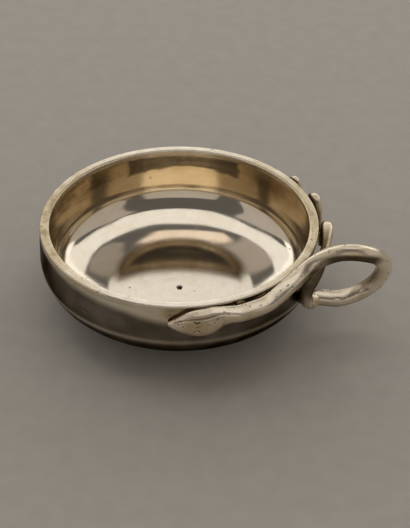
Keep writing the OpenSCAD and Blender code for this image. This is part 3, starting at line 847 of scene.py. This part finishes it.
f = np.linspace(0, 1, 84, endpoint=False)
tail_az = [RETURN + (CREST - RETURN) * f]
tail_z = [TAIL_Z + (CREST_Z - TAIL_Z) * np.sin(np.pi / 2 * f)]
f = np.linspace(0, 1, 60, endpoint=False)
pace = f + 0.6 * np.sin(2 * np.pi * f) / (2 * np.pi)
for i in range(HALF_WAVES):
    tail_az.append(wave_start(i) + (wave_start(i + 1) - wave_start(i)) * pace)
    tail_z.append(wave_z(i) + (wave_z(i + 1) - wave_z(i)) * (1 - np.cos(np.pi * f)) / 2)
tail_az = np.concatenate(tail_az + [[wave_start(HALF_WAVES)]])
tail_z = np.concatenate(tail_z + [[wave_z(HALF_WAVES)]])
part = np.linspace(0, 1, len(tail_az))[:, None]
tail_r = TAIL_R + (TAIL_TIP_R - TAIL_R) * part ** 1.2
path = at(seat(tail_z) + SEAT_GAP + tail_r[:, 0], tail_az, tail_z)
ring = rod_along(path, 64, along_wall(RETURN))[1]
crest = most(*(ramp(np.abs(tail_az - wave_start(i)), reach, 0) for i, reach in CREST_FLATS))[:, None]
path = path + np.array([0, 0, 0.25]) * crest
level = ring[..., 2]
over = CREST_SOFT * np.log1p(np.exp((level - 1 + 0.26 * crest) / CREST_SOFT))
flat = 1 - 0.9 * over * crest / np.maximum(level, 0.2)
thin = 1 + 0.14 * crest - 0.16 * (1 - crest) * ramp(part, 0.04, 0.14)
forged = 0.04 * hollows(path[:, None] + ring * TAIL_R, 4, 13) * ramp(part, 0, 0.05)
grid = path[:, None] + ring * (tail_r * flat * thin - forged)[..., None]
wall_side = -(skin(grid) * at(1.0, tail_az, 0 * tail_az)[:, None]).sum(2)
# Dirt and painted shade darken the tail on the side by the wall; painted shade darkens its first strand out of the
# bend and the outer sides of the strands between the crests, and the crests' tops are toned lighter as painted light
dirt_and_shade = most(0.75 * ramp(wall_side, 0.1, 0.7), 0.78 * ramp(part, 0.15, 0.09),
              0.7 * ramp(wall_side, -0.55, -0.15) * (1 - crest))
tarnish_and_painted_light = (0.42 + 0.3 * ramp(wall_side, -0.3, 0.3) - 0.4 * crest * ramp(level, -0.1, 0.4)
           + 0.12 * uneven(grid, 4, 14))
tail = piece_of("serpent_tail_waves", grid, tarnish_and_painted_light, dirt_and_shade, drawn_along(ring, TAIL_R, way_on(path)))
tail.data.materials.append(forged_silver)
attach(tail, "root")
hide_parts("serpent_tail")

# Solder under the tail: a short seam at each trough, where the thin rod lies on the belly.
# It fills the corner behind the rod and is brown with age.
show_solid("tail_solder", grimy_solder)

# Floor: a plain pale matt sheet that the cup stands on.
# Its paper grain is faint and only breaks up the shading.
PAPER_HALF = 4000
PAPER_Z = -0.04
PAPER_GRAIN = 6
mesh = bpy.data.meshes.new("pale_floor")
mesh.from_pydata([(x * PAPER_HALF * MM, y * PAPER_HALF * MM, PAPER_Z * MM)
                  for x, y in ((-1, -1), (1, -1), (1, 1), (-1, 1))], [], [(0, 1, 2, 3)])
floor = bpy.data.objects.new("pale_floor", mesh)
bpy.context.scene.collection.objects.link(floor)
# Uncoated paper: matt, pale and a little cloudy
paper = bpy.data.materials.new("matt_pale_paper")
paper.use_nodes = True
tree = paper.node_tree
tree.nodes.clear()
place = put(tree, "ShaderNodeTexCoord", {}).outputs["Object"]
grain = put(tree, "ShaderNodeTexNoise", {"Vector": place, "Scale": 1 / (PAPER_GRAIN * MM), "Detail": 3.0})
shade = put(tree, "ShaderNodeMapRange", {0: grain.outputs[0], 1: 0.3, 2: 0.7})
colour = put(tree, "ShaderNodeMix", {0: shade.outputs[0], 6: linear("#c9c5bf"), 7: linear("#cfcbc5")},
             data_type="RGBA")
shader = put(tree, "ShaderNodeBsdfPrincipled", {"Base Color": colour.outputs[2], "Roughness": 0.85})
put(tree, "ShaderNodeOutputMaterial", {"Surface": shader.outputs[0]})
mesh.materials.append(paper)

# Light: a tent of cloth panels round the cup, lit from outside: a bright arch overhead, a low bright panel behind,
# and dimmer ones at the sides and front. The cloth is off-white and gives soft edges to what the silver mirrors.
# A direction is an azimuth and a height as the camera sees them: 0 is behind the cup, and the right is positive.
TENT_R = 1600
EYE = Vector((181.428, -334.148, 292.966)) * MM
AIM = Vector((0.54, 15.553, 0)) * MM
UP = Vector((0, 0, 1))
away = (AIM - EYE).normalized()
level_away = Vector((away.x, away.y, 0)).normalized()
level_right = level_away.cross(UP)


def towards(az, el):
    """Direction from the cup, in degrees as seen by the camera."""
    az, el = math.radians(az), math.radians(el)
    return (level_away * math.cos(az) + level_right * math.sin(az)) * math.cos(el) + UP * math.sin(el)


def cloth_panel(name, edge, other, glow, colour="#fffcf6"):
    """Lit panel of the tent between two edges, each a line of directions; glow is its brightness."""
    mesh = bpy.data.meshes.new(name)
    corners = [towards(*d) * TENT_R * MM for pair in zip(edge, other) for d in pair]
    mesh.from_pydata([tuple(c) for c in corners], [],
                     [(2 * i, 2 * i + 1, 2 * i + 3, 2 * i + 2) for i in range(len(edge) - 1)])
    cloth = bpy.data.materials.new(name + "_cloth")
    cloth.use_nodes = True
    tree = cloth.node_tree
    tree.nodes.clear()
    lit = put(tree, "ShaderNodeEmission", {"Color": linear(colour), "Strength": glow})
    put(tree, "ShaderNodeOutputMaterial", {"Surface": lit.outputs[0]})
    mesh.materials.append(cloth)
    panel = bpy.data.objects.new(name, mesh)
    panel.visible_camera = False
    bpy.context.scene.collection.objects.link(panel)


cloth_panel("arch_panel",
            [(-25, 32.8), (-29.2, 37.1), (-32.8, 40.8), (-37.3, 46.6), (-40.2, 51.5), (-42.6, 57.3), (-42.4, 62.2),
             (-39.9, 67.9), (-33.8, 73.7), (-20.2, 76.4), (-0.1, 77.2), (20.1, 76.4), (33.9, 73.8), (39.1, 68),
             (39.3, 61.2), (38.2, 52.4), (33.2, 45.6), (27.8, 40.1), (24, 34.5), (23, 32.8)],
            [(-52.7, 30), (-51.5, 35.4), (-51.4, 40.8), (-56.5, 47.3), (-59.5, 52.3), (-62.5, 57.3), (-69, 62.2),
             (-77.9, 67), (-101.3, 75.5), (-122.2, 81.2), (179.7, 84.4), (122.6, 81), (102.5, 75.2), (82, 66.7),
             (68.2, 61.1), (60.8, 53.2), (53.5, 46.3), (49.7, 40.1), (53.1, 32.7), (52.8, 29.8)], 0.95)
cloth_panel("back_panel", [(-9, 42), (-4, 42), (0, 42), (5, 42)], [(-9, 35), (-4, 35), (0, 35), (5, 35)], 0.86)
cloth_panel("low_back_panel",
            [(-58, 32), (-40, 32), (-23, 35), (0, 35), (21, 35), (40, 32), (58, 32)],
            [(-58, 14), (-40, 14), (-23, 14), (0, 14), (21, 14), (40, 14), (58, 14)], 1.25)
cloth_panel("left_low_panel", [(-100, 30), (-80, 30.5), (-58, 31.5)], [(-100, 25.5), (-80, 25), (-58, 22)], 1.2)
cloth_panel("right_low_panel", [(58, 31.5), (80, 30.5), (100, 30)], [(58, 22), (80, 25), (100, 25.5)], 1.2)
cloth_panel("upper_back_panel",
            [(-32.1, 64.6), (-24.9, 67), (-17.4, 68.6), (-8.6, 69.3), (-0.2, 69.1), (8.2, 68.8), (16.2, 67.6)],
            [(-27.7, 59.4), (-20.2, 57.2), (-10.5, 54.6), (-6.2, 53.6), (0, 55.5), (5.8, 53.6), (14.2, 57.1)],
            0.95, "#ffeeda")
cloth_panel("left_back_panel",
            [(-41.5, 59.3), (-41.7, 55.3), (-39.2, 50.5), (-34.2, 43.7), (-30, 39.5)],
            [(-20.2, 55.8), (-11.2, 52.9), (-7.2, 48.7), (-7, 44.9), (-4.4, 40.4)], 0.39, "#fff3e4")
cloth_panel("right_back_panel",
            [(23.6, 57.4), (32.8, 56.2), (34.6, 51.5), (29.7, 43.9), (23.4, 38.3)],
            [(21.4, 56.2), (14.9, 51.7), (5.9, 46.9), (3.6, 44), (1, 39.8)], 0.31, "#fff3e4")
cloth_panel("left_side_panel",
            [(-64.6, 41.3), (-64.2, 52), (-72.6, 60), (-84.6, 65.6), (-101.2, 58.6), (-109.7, 45.7), (-118.6, 33.1),
             (-127.3, 18.6)],
            [(-59, 10), (-66, 6), (-74, 2), (-82, 2), (-89, 2), (-102, 2), (-115, 2), (-128, 2)], 0.46, "#fff6ea")
cloth_panel("right_side_panel",
            [(60.4, 34.2), (68.6, 48.3), (72.1, 59.9), (86.5, 65.1), (108.3, 66.5), (113, 55.6), (121.3, 41),
             (131.4, 22.5)],
            [(59, 10), (65, 6), (74, 2), (84, 2), (94, 2), (107, 2), (120, 2), (132, 2)], 0.42, "#fff6ea")
cloth_panel("front_panel",
            [(-147.6, 34.2), (-158.2, 37), (-169.7, 38.9), (179.9, 39.3), (169.5, 38.8), (158.1, 37), (147.5, 34.2)],
            [(-146, 2), (-157, 2), (-169, 2), (180, 2), (169, 2), (157, 2), (146, 2)], 0.46, "#fff6ea")
world = bpy.data.worlds.new("dim_room")
world.use_nodes = True
world.node_tree.nodes["Background"].inputs["Color"].default_value = linear("#d8d4ce")
world.node_tree.nodes["Background"].inputs["Strength"].default_value = 0.16
bpy.context.scene.world = world
bpy.context.scene.view_settings.view_transform = "Standard"

# Camera: the photograph's own angle, in front of the serpent's snout and about 37 degrees above the floor.
# It is rolled by half a degree, as the photograph's is.
FOCAL_PX = 1580.5
LONG_SIDE_PX = 528
ROLL = math.radians(0.585)
view = bpy.data.cameras.new("camera")
view.sensor_width = 36
view.lens = FOCAL_PX / LONG_SIDE_PX * view.sensor_width
view.clip_start, view.clip_end = 0.01, 50
right = away.cross(UP).normalized()
upward = right.cross(away)
right, upward = (right * math.cos(ROLL) + upward * math.sin(ROLL), upward * math.cos(ROLL) - right * math.sin(ROLL))
camera = bpy.data.objects.new("camera", view)
camera.matrix_world = Matrix((
    (right.x, upward.x, -away.x, EYE.x), (right.y, upward.y, -away.y, EYE.y),
    (right.z, upward.z, -away.z, EYE.z), (0, 0, 0, 1)))
bpy.context.scene.collection.objects.link(camera)
bpy.context.scene.camera = camera
